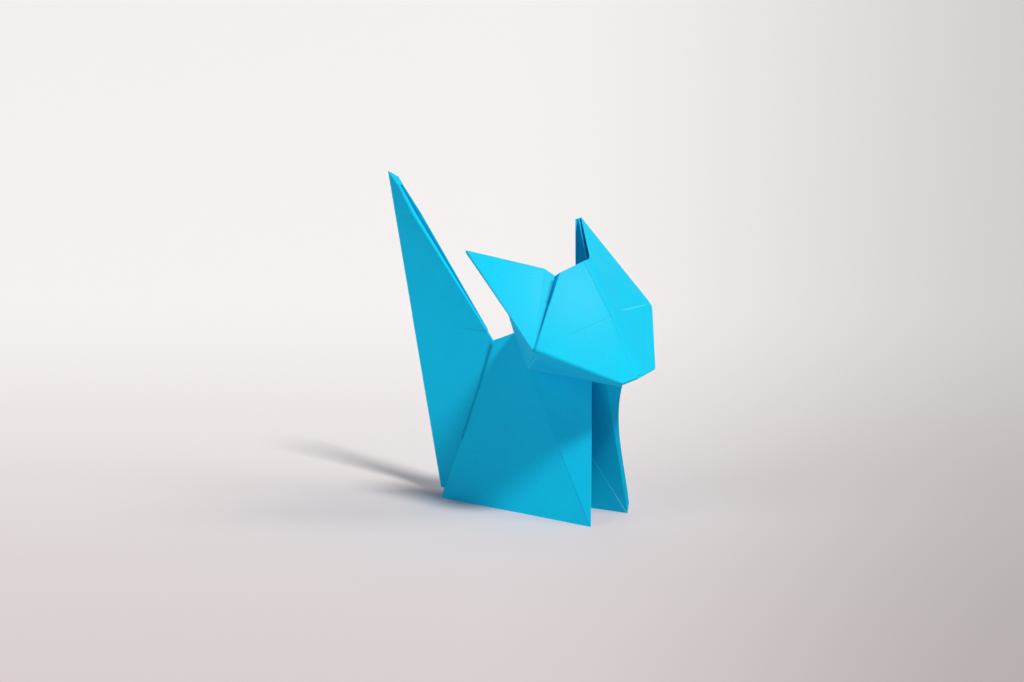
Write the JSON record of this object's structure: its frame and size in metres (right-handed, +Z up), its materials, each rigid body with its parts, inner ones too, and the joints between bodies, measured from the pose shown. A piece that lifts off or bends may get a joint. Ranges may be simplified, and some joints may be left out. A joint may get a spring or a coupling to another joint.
{
  "type": "origami cat",
  "caption": "Sitting cat folded from one square of bright blue paper, with a tall pointed tail and a broad faceted head.",
  "frame": {"origin": "on the table, under the middle of the cat's plan", "axes": "+X forward, the way the cat faces; +Y to the cat's left; +Z up"},
  "size_m": [0.122, 0.0784, 0.1293],
  "materials": {
    "blue_paper": "matte"
  },
  "bodies": {
    "root": {"folded_sheet": "blue_paper"}
  },
  "joints": []
}
